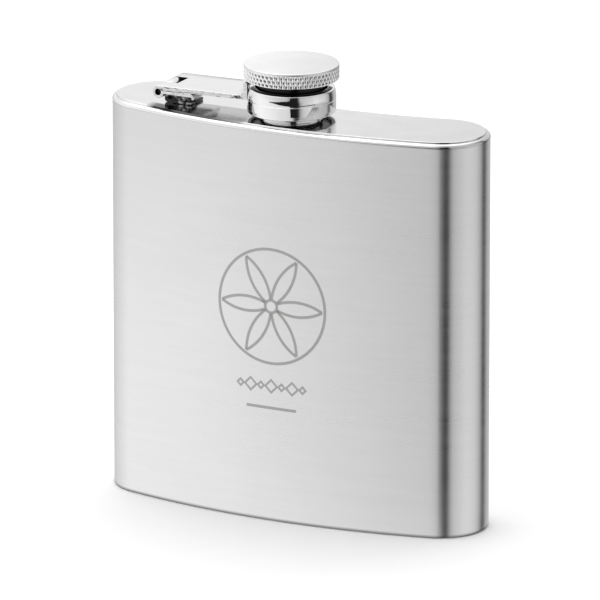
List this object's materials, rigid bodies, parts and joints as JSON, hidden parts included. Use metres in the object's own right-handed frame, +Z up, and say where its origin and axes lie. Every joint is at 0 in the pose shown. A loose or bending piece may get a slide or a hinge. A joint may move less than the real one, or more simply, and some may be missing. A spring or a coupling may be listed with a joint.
{
  "type": "hip flask",
  "caption": "Curved steel hip flask with a knurled screw cap held captive by a ring on a hinged arm.",
  "frame": {"origin": "middle of the base, at the centre of the outline's bounding box", "axes": "+Z up along the neck, +X along the width towards the side away from the hinge, +Y towards the hollow face that lies against the body"},
  "size_m": [0.095, 0.0272, 0.1069],
  "materials": {
    "brushed_steel": "fine horizontal brushing",
    "polished_steel": "mirror polish",
    "satin_steel": "satin, with a knurled edge",
    "threaded_steel": "turned, semi-bright",
    "silicone": "matt, translucent white"
  },
  "bodies": {
    "flask": {"body_shell": "brushed_steel", "top_panel": "polished_steel", "bottom_panel": "brushed_steel", "neck_tube": "threaded_steel", "neck_collar": "polished_steel", "hinge_bracket": "polished_steel", "hinge_pin": "polished_steel"},
    "arm": {"retainer_arm": "polished_steel", "retainer_ring": "polished_steel"},
    "seal": {"cap_gasket": "silicone"},
    "cap": {"cap_sleeve": "threaded_steel", "cap_head": "satin_steel"}
  },
  "joints": [
    {"name": "arm_hinge", "type": "hinge", "parent": "flask", "child": "arm", "pos_m": [-0.0312, -0.00219, 0.09735], "axis": [0, -1, 0], "range_deg": [0, 180]},
    {"name": "cap_rise", "type": "slide", "parent": "arm", "child": "seal", "axis": [0, 0, 1], "range_m": [0, 0.00351]},
    {"name": "cap_turn", "type": "hinge", "parent": "seal", "child": "cap", "pos_m": [0, -0.00219, 0.1], "axis": [0, 0, 1], "range_deg": [0, 900]}
  ],
  "couplings": [
    {"joint": "cap_rise", "follows": "cap_turn", "m_per_rad": 0.00022282}
  ]
}
